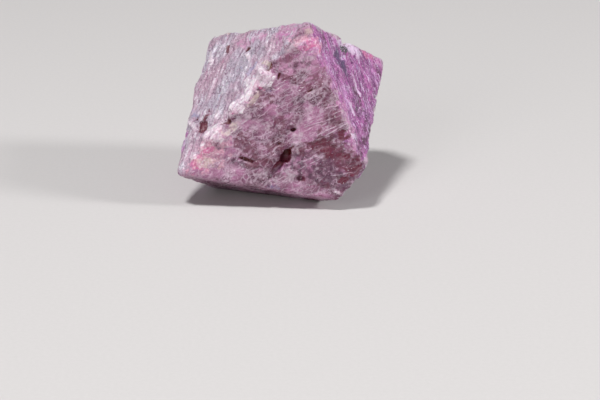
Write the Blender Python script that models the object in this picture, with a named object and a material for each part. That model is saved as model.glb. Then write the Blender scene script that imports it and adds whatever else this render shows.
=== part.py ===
"""A rough spinel octahedron, about 30 mm on an edge, lying on the flat break where one corner snapped off.

The crystal is built the way a crystallographer describes it: every face is a plane at its own distance
from the crystal's centre. The planes are cut in the crystal's own axes (X, Y and Z run through its
corners). Each flat face is then covered in small triangles, which carry the ridges, lumps and dents of
growth. Pits and broken places are cut out of it, and the one dark grain that it holds is joined to it.
The object's location and rotation lay the finished crystal on its break, with the origin on the surface
that it rests on.
"""

import math

import bmesh
import bpy
from mathutils import Euler, Matrix, Vector, geometry, noise

MM = 0.001

# ---- Driving dimensions -------------------------------------------------------------------------------
EDGE = 30.0 * MM  # edge of the ideal octahedron
HALF_AXIS = EDGE / math.sqrt(2)  # centre to corner
FACE_DISTANCE = EDGE / math.sqrt(6)  # centre to face
CENTRE_HEIGHT = 10.906 * MM  # the centre above the surface that the crystal rests on
REST_TURN = Euler([math.radians(angle) for angle in (-27.8897, 13.9526, -144.3531)])
SKIN_STEP = 1.15 * MM  # side of the small triangles that carry the relief
GRID_JITTER, JITTER_FINENESS = 0.22, 1.3  # how far and how finely the skin's points stray from their grid
BORDER_GAP = 0.6  # least distance of a grid point from a face's border, against the triangles' side
WELD = 1e-6  # points of two faces closer than this are one (metres)
SAME_POINT = 1e-9  # and within one face
FLOOR_FADE = 1.6 * MM  # relief dies away over this height above the break
EDGE_FADE = 1.5 * MM  # relief is quieter within this distance of an edge
EDGE_RELIEF = 0.45  # share of the relief that is left on an edge
CUT_CLEARANCE = 1.2  # how far a cutter stands out of the face that it enters (mm)
FLARE = 0.5  # how fast a cutter widens outside the face, against its walls inside

# Each face: its direction along the crystal's axes (one leans by a degree or two), how far it grew past
# the ideal distance (mm), the direction of its growth lines (degrees from the across direction), and the
# height of its ridges and of its broad swells (mm).
FACES = {
    "front": ((1, 1, 1), 0.0, 28, 0.10, 0.16),
    "left": ((1, -1, 1), 0.0, 25, 0.26, 0.20),
    "right": ((-1, 1, 1), 0.0, -42, 0.20, 0.14),
    "back": ((-1, -1, 1), 0.0, 35, 0.24, 0.18),
    "under_front": ((1, 1, -1), 0.40, 15, 0.14, 0.16),
    "under_left": ((1, -1, -1), 1.85, -20, 0.22, 0.18),
    "under_right": ((-0.96, 1.04, -1.0), -4.08, 30, 0.20, 0.22),
    "under_back": ((-1, -1, -1), 1.22, -30, 0.22, 0.20),
}
RIDGE_WIDTH = 1.2  # spacing of the growth ridges (mm)
RIDGE_LENGTH = 4.5  # run of a ridge before it joins its neighbour (mm)
RIDGE_SHARPNESS = 1.6  # height of a crest against an even wave of the same noise
RIDGE_WAVER, WAVER_LENGTH = 0.9, 5.0  # how far a ridge strays sideways, and over what length (mm)
SWELL_WIDTH = 3.0  # width of the broad swells (mm)
FACE_SHIFT = 7.3  # moves the noise on from face to face, so that no two faces share a pattern

# Blunted edges and corners: the direction out of the centre and the distance of the cut (mm).
CHIPS = {
    "worn_left_edge": ((0.661, -0.747, 0.077), 16.0),
    "left_corner": ((0.0, -1.0, 0.79), 16.65),
    "right_corner": ((-1.0, 0.0, 0.02), 17.75),
    "apex": ((0.1, 0.0, 1.0), 20.98),
    "near_left_corner": ((1.0, 0.03, -0.05), 21.20),
}

# Lumps, and with a height below zero dents. Each has its face, its place across and up that face, its
# length, width and height (mm), and the turn of its length from the across direction (degrees).
LUMP_SHOULDER = 1.5  # above 1, a lump has a flat top and steeper sides
LUMPS = {
    "white_knob": ("left", 5.6, 8.7, 4.2, 2.6, 0.55, 35),
    "pink_knob": ("left", 8.4, 2.2, 3.4, 2.0, 0.50, 50),
    "middle_knob": ("left", 6.2, -2.6, 3.4, 1.6, 0.45, 30),
    "low_knob": ("left", 4.4, -8.3, 3.4, 1.5, 0.50, 40),
    "long_streak": ("left", 11.2, -3.6, 6.4, 1.7, 0.45, 48),
    "corner_streak": ("left", 8.6, -7.9, 5.0, 1.4, 0.45, 45),
    "upper_streak": ("left", -0.8, 3.4, 5.4, 1.3, 0.35, 22),
    "side_streak": ("left", -9.2, -6.6, 5.4, 1.5, 0.35, 25),
    "crest_streak": ("left", -5.4, 4.4, 4.4, 1.2, 0.32, 20),
    "front_rim_high": ("front", -4.7, 7.4, 4.0, 1.8, 0.40, 62),
    "front_rim_middle": ("front", -7.4, 2.6, 5.2, 1.8, 0.42, 62),
    "front_rim_low": ("front", -10.4, -2.6, 5.8, 2.0, 0.42, 62),
    "cream_block": ("front", 0.9, -6.6, 2.6, 2.2, 0.30, 60),
    "middle_block": ("front", -4.6, 2.4, 3.4, 2.6, 0.26, 20),
    "upper_block": ("front", 1.4, 12.4, 5.2, 3.4, 0.28, -60),
    "right_block": ("front", 6.6, 4.2, 3.6, 2.4, 0.24, 30),
    "shallow_hollow": ("front", -1.7, -2.4, 2.8, 1.9, -0.40, 35),
    "grey_hollow": ("front", 2.5, -2.3, 2.4, 2.0, -0.25, 50),
    "hexagon_hollow": ("front", 3.0, 8.4, 3.4, 2.8, -0.28, 30),
    "red_hollow": ("front", 5.0, -1.0, 4.4, 2.1, -0.25, 25),
    "corner_hollow": ("front", 10.3, -3.6, 2.9, 2.5, -0.32, 60),
    "low_edge_dip": ("front", 10.2, -7.7, 2.6, 2.2, -0.45, -60),
    "crest_lump": ("left", -12.6, -4.6, 7.0, 3.6, 0.38, 58),
    "shoulder_lump": ("right", 8.6, -3.4, 8.0, 3.0, 0.36, 0),
    "right_lip": ("right", 4.4, 9.0, 3.2, 1.7, 0.42, -56),
    "pale_shoulder": ("right", 6.4, 3.8, 4.6, 2.6, 0.36, -56),
    "braid_high": ("right", -1.5, 7.2, 6.0, 1.3, 0.34, -52),
    "braid_low": ("right", -1.6, 1.6, 8.0, 1.6, 0.32, -46),
    "braid_edge": ("right", 5.0, -0.8, 5.0, 1.4, 0.34, -50),
    "back_terrace": ("back", 2.0, 4.0, 8.0, 5.2, 0.45, 30),
    "back_knob": ("back", -4.0, -5.0, 3.4, 2.4, 0.50, 15),
    "back_streak": ("back", 8.0, -5.6, 7.0, 1.6, 0.40, 38),
    "under_left_knob": ("under_left", 6.0, -3.4, 4.0, 2.6, 0.45, -15),
    "under_left_streak": ("under_left", -6.5, -4.6, 7.0, 1.7, 0.40, -22),
    "under_back_terrace": ("under_back", -4.0, -1.6, 7.4, 4.4, 0.45, -28),
    "under_back_knob": ("under_back", 3.6, -4.4, 3.6, 2.2, 0.45, 10),
    "under_right_streak": ("under_right", 5.0, -2.2, 8.4, 2.0, 0.42, 28),
    "under_right_knob": ("under_right", -7.4, -5.0, 3.8, 2.6, 0.45, 0),
}

# Pits: face, across, up, length, width, depth (mm), turn (degrees), and how far the floor is shifted along
# the length, as a share of the half length, which makes a pit a wedge.
PITS = {
    "round_pit": ("front", 0.5, 0.5, 1.05, 0.8, 0.9, 20, 0.0),
    "upright_slit": ("front", -2.9, 8.2, 1.6, 0.5, 0.9, 85, -0.2),
    "corner_hole": ("front", 2.15, 6.85, 0.8, 0.5, 0.7, 35, 0.0),
    "flat_slot": ("front", -5.9, -5.2, 2.3, 0.42, 0.8, -7, 0.2),
    "dark_pit": ("front", 2.8, -6.7, 1.3, 0.9, 0.6, 25, 0.0),
    "bottom_nick": ("front", -1.8, -8.7, 1.3, 0.9, 0.9, 80, 0.0),
    "edge_wedge": ("left", 9.5, 0.1, 2.2, 1.2, 1.1, 60, 0.4),
    "wedge_slit": ("left", -4.8, 2.3, 1.9, 0.95, 1.0, 20, 0.4),
    "rose_slit": ("left", -7.5, -3.4, 2.4, 0.75, 0.6, 12, 0.2),
    "short_slit": ("left", 1.0, -3.3, 1.4, 0.75, 0.8, 15, 0.0),
    "high_slit": ("left", 3.7, 9.3, 2.2, 0.7, 0.8, 20, 0.4),
    "small_slit": ("left", -1.9, 4.9, 0.9, 0.45, 0.5, 10, 0.0),
    "shelf_shadow": ("left", 6.2, 0.2, 2.8, 0.6, 0.5, 10, 0.3),
    "grey_groove": ("right", 1.2, 8.2, 3.2, 0.8, 0.55, -40, 0.0),
    "grey_pit": ("right", 2.2, 6.8, 2.0, 0.9, 0.65, -30, 0.2),
    "spindle": ("right", 0.4, 11.4, 2.6, 1.0, 0.40, -20, 0.0),
    "dark_hollow": ("right", -3.4, 0.6, 2.0, 0.9, 0.45, -20, 0.0),
    "edge_nick": ("right", 3.6, -3.9, 1.6, 1.0, 0.7, -45, 0.0),
    "back_slit": ("back", -1.5, 8.0, 2.6, 0.9, 0.9, 35, 0.3),
    "back_pit": ("back", 5.6, -1.0, 2.0, 1.3, 0.8, 10, 0.0),
    "back_groove": ("back", -6.0, -1.6, 4.6, 1.0, 0.6, 35, 0.0),
    "under_left_pit": ("under_left", -2.0, 2.6, 2.6, 1.5, 0.9, -25, 0.0),
    "under_left_slit": ("under_left", 9.0, -5.8, 2.8, 0.9, 0.7, -20, 0.3),
    "under_back_pit": ("under_back", 0.4, 2.2, 2.2, 1.3, 0.8, -30, 0.0),
    "under_back_slit": ("under_back", -9.6, -5.0, 2.4, 0.8, 0.7, -25, 0.0),
    "under_right_pit": ("under_right", -2.0, 1.8, 2.6, 1.4, 0.9, 30, 0.0),
    "under_right_slit": ("under_right", 9.4, -6.4, 2.6, 0.8, 0.7, 25, 0.2),
    "under_front_pit": ("under_front", 3.0, -4.6, 2.2, 1.2, 0.7, 10, 0.0),
}
PIT_SIDES = 10  # corners of a pit's mouth
PIT_FLOOR = 0.45  # size of a pit's floor against its mouth
PIT_ENDS = 0.25  # how much narrower than an ellipse a pit's mouth is towards its ends

# Shaped hollows: the face, the depth (mm), the floor's size against the mouth, and the mouth's corners
# (across and up the face, mm).
HOLLOWS = {
    "trench": (
        "front", 1.5, 0.45,
        ((0.0, -2.3), (0.45, -3.1), (0.72, -4.2), (-0.2, -5.1), (-0.75, -4.8), (-0.6, -3.6)),
    ),
    "trench_foot": (
        "front", 0.8, 0.6,
        ((0.35, -4.4), (-0.5, -6.1), (-1.4, -7.4), (-1.65, -8.6), (-2.1, -8.5), (-2.7, -7.2), (-2.5, -6.0),
         (-1.4, -5.6), (-0.7, -4.3)),
    ),
    "big_recess": (
        "left", 1.7, 0.55,
        ((3.7, -5.8), (5.4, -5.0), (8.2, -4.2), (8.5, -4.8), (7.5, -6.1), (6.8, -7.3), (5.6, -6.9),
         (4.6, -6.3)),
    ),
    "notch": ("right", 2.4, 1.0, ((4.5, 7.45), (7.0, 8.6), (9.2, 5.4), (7.3, 4.5), (5.3, 6.5))),
}

# The dark grain at the foot of the notch: its face, place, length, width, height and turn, as for a lump.
GRAIN = ("right", 4.1, 6.3, 2.4, 1.8, 0.42, -60)
GRAIN_LUMPS, LUMP_SIZE = 0.14, 1.7  # height and fineness of the grain's own unevenness


# ---- Faces and placing --------------------------------------------------------------------------------
def face_axes(name):
    """The face's across, up and outward directions. Up runs to the apex, or to the lost corner below."""
    outward = Vector(FACES[name][0]).normalized()
    pole = Vector((0, 0, math.copysign(1, outward.z)))
    up = (pole - outward * pole.dot(outward)).normalized()
    return up.cross(outward), up, outward


def face_distance(name):
    return FACE_DISTANCE + FACES[name][1] * MM


def on_face(name, across, up, turn):
    """The matrix that stands a shape on a face: X across it, Y up it and Z straight out (metres)."""
    x_axis, y_axis, z_axis = face_axes(name)
    place = z_axis * face_distance(name) + x_axis * across * MM + y_axis * up * MM
    axes = Matrix((x_axis, y_axis, z_axis)).transposed().to_4x4()
    return Matrix.Translation(place) @ axes @ Matrix.Rotation(math.radians(turn), 4, "Z")


def turned(across, up, degrees):
    """A place on a face, given in axes that are turned against the face's own."""
    cosine = math.cos(math.radians(degrees))
    sine = math.sin(math.radians(degrees))
    return across * cosine + up * sine, up * cosine - across * sine


def floor_normal():
    """Straight down in the resting position, in the crystal's own axes."""
    return REST_TURN.to_matrix().transposed() @ Vector((0, 0, -1))


# ---- The body -----------------------------------------------------------------------------------------
def cut_flat(bm, point, outward):
    """Slices off what lies outside a plane, and closes the cut with one flat face."""
    everything = bm.verts[:] + bm.edges[:] + bm.faces[:]
    cut = bmesh.ops.bisect_plane(
        bm, geom=everything, dist=WELD, plane_co=point, plane_no=outward, clear_outer=True
    )
    rim = [item for item in cut["geom_cut"] if isinstance(item, bmesh.types.BMEdge)]
    if rim:
        bmesh.ops.contextual_create(bm, geom=rim)


def flat_faced_crystal():
    """A block larger than the crystal, cut by its eight faces, its chipped corners and the break."""
    bm = bmesh.new()
    bmesh.ops.create_cube(bm, size=4 * HALF_AXIS)
    for name in FACES:
        outward = face_axes(name)[2]
        cut_flat(bm, outward * face_distance(name), outward)
    for direction, distance in CHIPS.values():
        outward = Vector(direction).normalized()
        cut_flat(bm, outward * distance * MM, outward)
    cut_flat(bm, floor_normal() * CENTRE_HEIGHT, floor_normal())
    return bm


def edge_points(start, end):
    """Evenly spaced points from start up to, but without, end. Both faces of an edge get the same ones."""
    count = max(1, round((end - start).length / SKIN_STEP))
    return [start.lerp(end, i / count) for i in range(count)]


def inner_points(border, outline):
    """Points of a staggered grid, inside a face and clear of its border, in the face's own plane."""
    low = [min(point[i] for point in outline) for i in (0, 1)]
    high = [max(point[i] for point in outline) for i in (0, 1)]
    row_step = SKIN_STEP * math.sqrt(3) / 2
    points = []
    for row in range(int((high[1] - low[1]) / row_step) + 1):
        for column in range(int((high[0] - low[0]) / SKIN_STEP) + 2):
            place = Vector((low[0] + (column + 0.5 * (row % 2)) * SKIN_STEP, low[1] + row * row_step, 0))
            place += GRID_JITTER * noise.noise_vector(place / SKIN_STEP * JITTER_FINENESS) * SKIN_STEP
            place = place.to_2d()
            sides = zip(outline, outline[1:] + outline[:1])
            inside = all((b - a).cross(place - a) > 0 for a, b in sides)
            if inside and min((point - place).length for point in border) > BORDER_GAP * SKIN_STEP:
                points.append(place)
    return points


def split_into_skin(flat):
    """The same solid with each flat face covered in small triangles of about one size."""
    skin = bmesh.new()
    for face in flat.faces:
        corners = [vertex.co.copy() for vertex in face.verts]
        across = (corners[1] - corners[0]).normalized()
        axes = Matrix((across, face.normal.cross(across), face.normal))
        level = axes @ corners[0]
        outline = [(axes @ corner).to_2d() for corner in corners]
        ring = [point for a, b in zip(corners, corners[1:] + corners[:1]) for point in edge_points(a, b)]
        border = [(axes @ point).to_2d() for point in ring]
        inside = inner_points(border, outline)
        loop = [(i, (i + 1) % len(border)) for i in range(len(border))]
        filled = geometry.delaunay_2d_cdt(border + inside, loop, [], 1, SAME_POINT)
        solid = ring + [axes.transposed() @ Vector((point.x, point.y, level.z)) for point in inside]
        made = [skin.verts.new(solid[came_from[0]]) for came_from in filled[3]]
        for corner_numbers in filled[2]:
            skin.faces.new([made[i] for i in corner_numbers])
    flat.free()
    bmesh.ops.remove_doubles(skin, verts=skin.verts[:], dist=WELD)
    bmesh.ops.recalc_face_normals(skin, faces=skin.faces[:])
    return skin


# ---- Relief -------------------------------------------------------------------------------------------
def smooth_step(value):
    value = min(1.0, max(0.0, value))
    return value * value * (3 - 2 * value)


def face_relief(name, point):
    """Height of the growth relief (mm) at a point of a face: ridges along its lines over broad swells."""
    direction, _, lines, ridge_height, swell_height = FACES[name]
    x_axis, y_axis, _ = face_axes(name)
    across, up = point.dot(x_axis) / MM, point.dot(y_axis) / MM
    along, beside = turned(across, up, lines)
    home = Vector(direction) * FACE_SHIFT
    waver = noise.noise(Vector((along / WAVER_LENGTH, beside / WAVER_LENGTH, 0)) + home)
    beside += RIDGE_WAVER * waver
    wave = noise.noise(Vector((along / RIDGE_LENGTH, beside / RIDGE_WIDTH, 0)) - home)
    swell = noise.noise(Vector((across / SWELL_WIDTH, up / SWELL_WIDTH, 0)) + 2 * home)
    crest = (1 - 2 * abs(wave)) * RIDGE_SHARPNESS - 1
    return ridge_height * crest + swell_height * swell


def lump_relief(name, point):
    """Height (mm) of the placed lumps at a point of a face: each is a low mound with a flattened top."""
    x_axis, y_axis, _ = face_axes(name)
    across, up = point.dot(x_axis) / MM, point.dot(y_axis) / MM
    total = 0.0
    for face, middle, middle_up, length, width, height, turn in LUMPS.values():
        if face == name:
            along, beside = turned(across - middle, up - middle_up, turn)
            reach = 2 * math.hypot(along / length, beside / width)
            total += height * smooth_step(LUMP_SHOULDER * (1 - reach))
    return total


def raise_relief(bm):
    """Moves each vertex of the skin out or in along the faces that it lies on. The break stays flat."""
    down = floor_normal()
    moves = {}
    for vertex in bm.verts:
        gaps = {name: face_distance(name) - vertex.co.dot(face_axes(name)[2]) for name in FACES}
        nearest = sorted(gaps, key=gaps.get)[:2]
        share = EDGE_RELIEF + (1 - EDGE_RELIEF) * smooth_step(gaps[nearest[1]] / EDGE_FADE)
        fade = smooth_step((CENTRE_HEIGHT - vertex.co.dot(down)) / FLOOR_FADE)
        moves[vertex] = Vector()
        for name in nearest:
            if gaps[name] < WELD:
                height = share * face_relief(name, vertex.co) + lump_relief(name, vertex.co)
                moves[vertex] += face_axes(name)[2] * height * fade * MM
    for vertex, move in moves.items():
        vertex.co += move


# ---- Grain and pits -----------------------------------------------------------------------------------
def add_plug(bm, place, mouth, depth, floor_size, shift):
    """A tapered plug under an outline (mm): it stands clear of the face and narrows towards its floor."""
    middle = sum((Vector(point) for point in mouth), Vector((0, 0))) / len(mouth)
    flare = FLARE * (1 - floor_size) * CUT_CLEARANCE / depth
    levels = ((CUT_CLEARANCE, 1 + flare, 0), (0, 1, 0), (-depth, floor_size, shift))
    rings = []
    for height, scale, shifted in levels:
        ring = [middle + (Vector(point) - middle) * scale + Vector((shifted, 0)) for point in mouth]
        rings.append([bm.verts.new(place @ (Vector((*point, height)) * MM)) for point in ring])
    count = len(mouth)
    for upper, lower in zip(rings, rings[1:]):
        for i in range(count):
            j = (i + 1) % count
            bm.faces.new((upper[i], upper[j], lower[j], lower[i]))
    bm.faces.new(rings[0][::-1])
    bm.faces.new(rings[-1])


def pit_mouth(length, width):
    """A lens-shaped outline: round at the waist and drawn out to its ends."""
    mouth = []
    for i in range(PIT_SIDES):
        angle = math.tau * i / PIT_SIDES
        waist = 1 - PIT_ENDS * (1 - abs(math.sin(angle)))
        mouth.append((length / 2 * math.cos(angle), width / 2 * math.sin(angle) * waist))
    return mouth


def pits_mesh():
    bm = bmesh.new()
    for face, across, up, length, width, depth, turn, shift in PITS.values():
        place = on_face(face, across, up, turn)
        add_plug(bm, place, pit_mouth(length, width), depth, PIT_FLOOR, shift * length / 2)
    for face, depth, floor_size, mouth in HOLLOWS.values():
        add_plug(bm, on_face(face, 0, 0, 0), mouth, depth, floor_size, 0)
    bmesh.ops.recalc_face_normals(bm, faces=bm.faces[:])
    return bm


def grain_mesh():
    """A slightly uneven mound, half sunk in its face."""
    face, across, up, length, width, height, turn = GRAIN
    bm = bmesh.new()
    bmesh.ops.create_icosphere(bm, subdivisions=2, radius=1.0)
    for vertex in bm.verts:
        vertex.co *= 1 + GRAIN_LUMPS * noise.noise(vertex.co * LUMP_SIZE)
    size = Matrix.Diagonal((length / 2 * MM, width / 2 * MM, height * MM, 1))
    bmesh.ops.transform(bm, matrix=on_face(face, across, up, turn) @ size, verts=bm.verts[:])
    return bm


# ---- Objects ------------------------------------------------------------------------------------------
def new_object(name, bm):
    mesh = bpy.data.meshes.new(name)
    bm.to_mesh(mesh)
    bm.free()
    made = bpy.data.objects.new(name, mesh)
    bpy.context.scene.collection.objects.link(made)
    made.location = (0, 0, CENTRE_HEIGHT)
    made.rotation_euler = REST_TURN
    return made


def tool_object(name, bm):
    """A shape that only joins or cuts: it isn't part of the model."""
    made = new_object(name, bm)
    made.hide_render = True
    made.display_type = "WIRE"
    return made


def add_boolean(made, operation, tool):
    modifier = made.modifiers.new(tool.name, "BOOLEAN")
    modifier.operation = operation
    modifier.object = tool
    modifier.solver = "EXACT"
    modifier.use_self = True


def spinel_material():
    material = bpy.data.materials.new("rose spinel")
    material.use_nodes = True
    shader = material.node_tree.nodes["Principled BSDF"]
    shader.inputs["Base Color"].default_value = (0.36, 0.16, 0.25, 1)
    shader.inputs["Roughness"].default_value = 0.42
    shader.inputs["Metallic"].default_value = 0.0
    shader.inputs["IOR"].default_value = 1.72
    return material


def build():
    for old in list(bpy.data.objects):
        bpy.data.objects.remove(old)
    bm = flat_faced_crystal()
    bm = split_into_skin(bm)
    raise_relief(bm)
    crystal = new_object("spinel_crystal", bm)
    crystal.data.materials.append(spinel_material())
    add_boolean(crystal, "DIFFERENCE", tool_object("pits", pits_mesh()))
    add_boolean(crystal, "UNION", tool_object("dark_grain", grain_mesh()))


build()
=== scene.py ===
# %% [markdown]
# # A rough rose spinel
#
# A spinel crystal that grew free in marble is an octahedron: eight triangular faces, all turned the same
# way in every crystal. This one is about 30 mm along an edge. It is cloudy rather than clear, full of
# healed cracks, and it stands on the flat break where one corner snapped off. The solid model gives its
# true shape. Here it gets the skin: fine growth layers, pits, veins, and the pinks and violets of spinel.

# %% Load the solid model
import itertools
import math

import bmesh
import bpy
import numpy as np
from mathutils import Euler, Matrix, Vector


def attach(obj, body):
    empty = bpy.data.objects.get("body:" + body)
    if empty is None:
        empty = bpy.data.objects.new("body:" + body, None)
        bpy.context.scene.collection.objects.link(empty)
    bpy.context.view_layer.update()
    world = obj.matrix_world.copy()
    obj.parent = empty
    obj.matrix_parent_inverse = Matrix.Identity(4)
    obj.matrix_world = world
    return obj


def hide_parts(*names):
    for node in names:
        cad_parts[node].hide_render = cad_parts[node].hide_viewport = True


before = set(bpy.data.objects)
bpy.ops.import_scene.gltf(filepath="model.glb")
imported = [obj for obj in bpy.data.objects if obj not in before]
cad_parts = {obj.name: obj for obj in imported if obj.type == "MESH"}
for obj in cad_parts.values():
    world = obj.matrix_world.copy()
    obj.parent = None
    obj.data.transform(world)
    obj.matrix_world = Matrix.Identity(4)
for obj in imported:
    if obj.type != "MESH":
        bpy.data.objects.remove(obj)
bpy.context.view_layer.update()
MM = 0.001

# %% [markdown]
# A small specimen is best seen from close by through a long lens, so that its faces keep their true
# proportions. The camera looks down on the crystal by some 18 degrees. A lens of 144 mm on the usual
# 36 mm wide frame has the same narrow view as a short telephoto macro lens.

# %% Camera
CAMERA_PLACE = Vector((1.05, -361.0, 116.1)) * MM
CAMERA_DIP = math.radians(18.207)
LENS, SENSOR_WIDTH = 144, 36

lens = bpy.data.cameras.new("macro lens")
lens.lens = LENS
lens.sensor_width = SENSOR_WIDTH
camera = bpy.data.objects.new("camera", lens)
camera.location = CAMERA_PLACE
camera.rotation_euler = (math.radians(90) - CAMERA_DIP, 0, 0)
bpy.context.scene.collection.objects.link(camera)
bpy.context.scene.camera = camera
print("camera is", round(CAMERA_PLACE.length / MM), "mm from the crystal")

# %% [markdown]
# Colours are given as sRGB hex values, as in a paint program. Blender's shaders count in linear light, so
# one function turns the first into the second. The plain view transform then shows them as they were given.


# %% Colours
def linear(hex_colour):
    """An sRGB hex colour as the linear RGBA that Blender's sockets take."""
    channels = [int(hex_colour[i:i + 2], 16) / 255 for i in (1, 3, 5)]
    return [c / 12.92 if c <= 0.04045 else ((c + 0.055) / 1.055) ** 2.4 for c in channels] + [1.0]


bpy.context.scene.view_settings.view_transform = "Standard"
print("mid rose in linear light:", [round(c, 3) for c in linear("#a67a95")])

# %% [markdown]
# A stone's finish needs a few hundred nodes, so one function adds them all, and a formula then reads much
# like a line of plain arithmetic. It takes the kind of node, with its operation after a blank if it has
# one, and then the inputs in the order in which the node shows them. An input is a value or an output of
# another node. It gives back the new node's first output, or the one that is asked for by name.

# %% One function for all nodes
USUAL = {"Mix": {"data_type": "RGBA"}, "MapRange": {"interpolation_type": "SMOOTHSTEP"}}


def add(kind, *inputs, named=None, output=None, **settings):
    """Adds a node to the tree, sets it up, links it, and gives back one of its outputs."""
    kind, _, operation = kind.partition(" ")
    node = tree.nodes.new("ShaderNode" + kind)
    if operation:
        node.operation = operation
    for name, value in {**USUAL.get(kind, {}), **settings}.items():
        setattr(node, name, value)
    shown = [socket for socket in node.inputs if socket.enabled]
    filled = list(zip(shown, inputs))
    filled += [(node.inputs[name], value) for name, value in (named or {}).items()]
    for socket, value in filled:
        if isinstance(value, bpy.types.NodeSocket):
            tree.links.new(value, socket)
        else:
            socket.default_value = value
    outputs = [socket for socket in node.outputs if socket.enabled]
    return node.outputs[output] if output else next(iter(outputs), None)


def new_material(name):
    """An empty material and its node tree."""
    material = bpy.data.materials.new(name)
    material.use_nodes = True
    material.node_tree.nodes.clear()
    return material, material.node_tree


# %% [markdown]
# The crystal stands on a sheet of uncoated card: pressed paper fibre, matt and even, so the eye reads it as
# a quiet backdrop. Card has a faint tooth, which keeps the floor from looking like plain white light. A
# disc far wider than the view is enough for every angle.

# %% Floor
FLOOR_RADIUS = 2.5
CARD_TOOTH, TOOTH_DEPTH = 0.6, 0.02  # mm, the grain of the card's surface

card, tree = new_material("uncoated pale card")
tooth = add("TexNoise", add("TexCoord", output="Object"), 1 / (CARD_TOOTH * MM))
bump = add("Bump", named={"Height": tooth, "Strength": 0.1, "Distance": TOOTH_DEPTH * MM})
tone = add("Mix", tooth, linear("#c8c5c4"), linear("#cecbca"))
matt = add("BsdfPrincipled", named={"Base Color": tone, "Roughness": 0.9, "IOR": 1.5, "Normal": bump})
add("OutputMaterial", matt)

bpy.ops.mesh.primitive_circle_add(vertices=96, radius=FLOOR_RADIUS, fill_type="NGON")
floor = bpy.context.object
floor.name = "floor"
floor.data.materials.append(card)
print("floor is", FLOOR_RADIUS * 2, "m wide")

# %% [markdown]
# Soft light suits a stone with small ridges. The main lamp hangs almost overhead, a little to the left and
# in front, and rakes down over them. A lamp on the right lights the fibres of the right face, a broad one
# in front opens up the shade, and a pale sky fills the rest.

# %% Light
LAMPS = {  # place (m), width (m), power (W)
    "overhead": ((-0.20, -0.22, 0.80), 0.16, 5.5),
    "side": ((0.62, -0.14, 0.34), 0.16, 2.6),
    "front": ((-0.34, -0.64, 0.30), 0.30, 1.2),
}
LOOK_AT = Vector((0, -5, 15)) * MM
SKY_COLOUR, SKY_STRENGTH = "#f2f1f4", 0.21

for name, (place, width, power) in LAMPS.items():
    light = bpy.data.lights.new(name, "AREA")
    light.shape = "DISK"
    light.size = width
    light.energy = power
    lamp = bpy.data.objects.new(name, light)
    lamp.location = place
    lamp.rotation_euler = (LOOK_AT - Vector(place)).to_track_quat("-Z", "Y").to_euler()
    bpy.context.scene.collection.objects.link(lamp)

world = bpy.data.worlds.new("pale sky")
world.use_nodes = True
world.node_tree.nodes["Background"].inputs["Color"].default_value = linear(SKY_COLOUR)
world.node_tree.nodes["Background"].inputs["Strength"].default_value = SKY_STRENGTH
bpy.context.scene.world = world
print(len(LAMPS), "lamps")

# %% [markdown]
# ## The crystal's own axes
#
# Everything on the crystal is placed by face. A face has a direction across, a direction up towards the
# apex, and a direction straight out, and it lies at a distance from the crystal's centre. In the crystal's
# own axes the eight faces point to the eight corners of a cube. One turn lays all of them in the resting
# position. Lengths are in millimetres from here on, because that is the size of what is on the faces.

# %% Faces
EDGE = 30.0
FACE_DISTANCE = EDGE / math.sqrt(6)
CENTRE = Vector((0, 0, 10.906))
REST_TURN = Euler([math.radians(angle) for angle in (-27.8897, 13.9526, -144.3531)]).to_matrix()
FACES = {  # direction in the crystal's axes, growth past the ideal distance (mm)
    "front": ((1, 1, 1), 0.0),
    "left": ((1, -1, 1), 0.0),
    "right": ((-1, 1, 1), 0.0),
    "back": ((-1, -1, 1), 0.0),
    "under_front": ((1, 1, -1), 0.40),
    "under_left": ((1, -1, -1), 1.85),
    "under_right": ((-0.96, 1.04, -1.0), -4.08),
    "under_back": ((-1, -1, -1), 1.22),
}


def face_axes(name):
    """The face's across, up and outward directions, as rows, in the resting position."""
    outward = Vector(FACES[name][0]).normalized()
    pole = Vector((0, 0, math.copysign(1, outward.z)))
    up = (pole - outward * pole.dot(outward)).normalized()
    return Matrix((REST_TURN @ up.cross(outward), REST_TURN @ up, REST_TURN @ outward))


def on_face(name, points):
    """Across, up and height above a face, for an array of points (mm)."""
    placed = (points - np.array(CENTRE)) @ np.array(face_axes(name)).T
    placed[:, 2] -= FACE_DISTANCE + FACES[name][1]
    return placed


def turned(placed, degrees):
    """Along and beside a line that is turned from the across direction of a face."""
    cosine = math.cos(math.radians(degrees))
    sine = math.sin(math.radians(degrees))
    along = placed[:, 0] * cosine + placed[:, 1] * sine
    beside = placed[:, 1] * cosine - placed[:, 0] * sine
    return along, beside


print(len(FACES), "faces,", round(FACE_DISTANCE, 2), "mm from the centre")

# %% [markdown]
# ## A skin fine enough for growth layers
#
# The solid model has triangles of about a millimetre. The growth layers on a spinel face are finer than
# that, so the crystal is copied and given a new skin. Subdividing would keep the solid's long and short
# triangles. A voxel remesh lays small, even squares over all of it, and fills nothing wider than a square.

# %% Fine skin
SKIN = 0.21  # mm, side of the squares: fine enough to draw a ridge half a millimetre wide
NODE = "spinel_crystal"

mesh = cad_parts[NODE].data.copy()
mesh.transform(Matrix.Scale(1 / MM, 4))
crystal = bpy.data.objects.new("rough_spinel", mesh)
bpy.context.scene.collection.objects.link(crystal)
remesh = crystal.modifiers.new("fine skin", "REMESH")
remesh.mode = "VOXEL"
remesh.voxel_size = SKIN
bpy.context.view_layer.update()
remeshed = crystal.evaluated_get(bpy.context.evaluated_depsgraph_get())
crystal.data = bpy.data.meshes.new_from_object(remeshed)
crystal.modifiers.clear()
mesh = crystal.data
print("skin has", len(mesh.vertices), "points and", len(mesh.polygons) * 2, "triangles")

# %% [markdown]
# Where the solid has a fold thinner than a square, a voxel remesh can leave a loose crumb. A walk from
# neighbour to neighbour, begun at the top of the crystal, finds all that hangs together. The rest goes.

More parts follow.
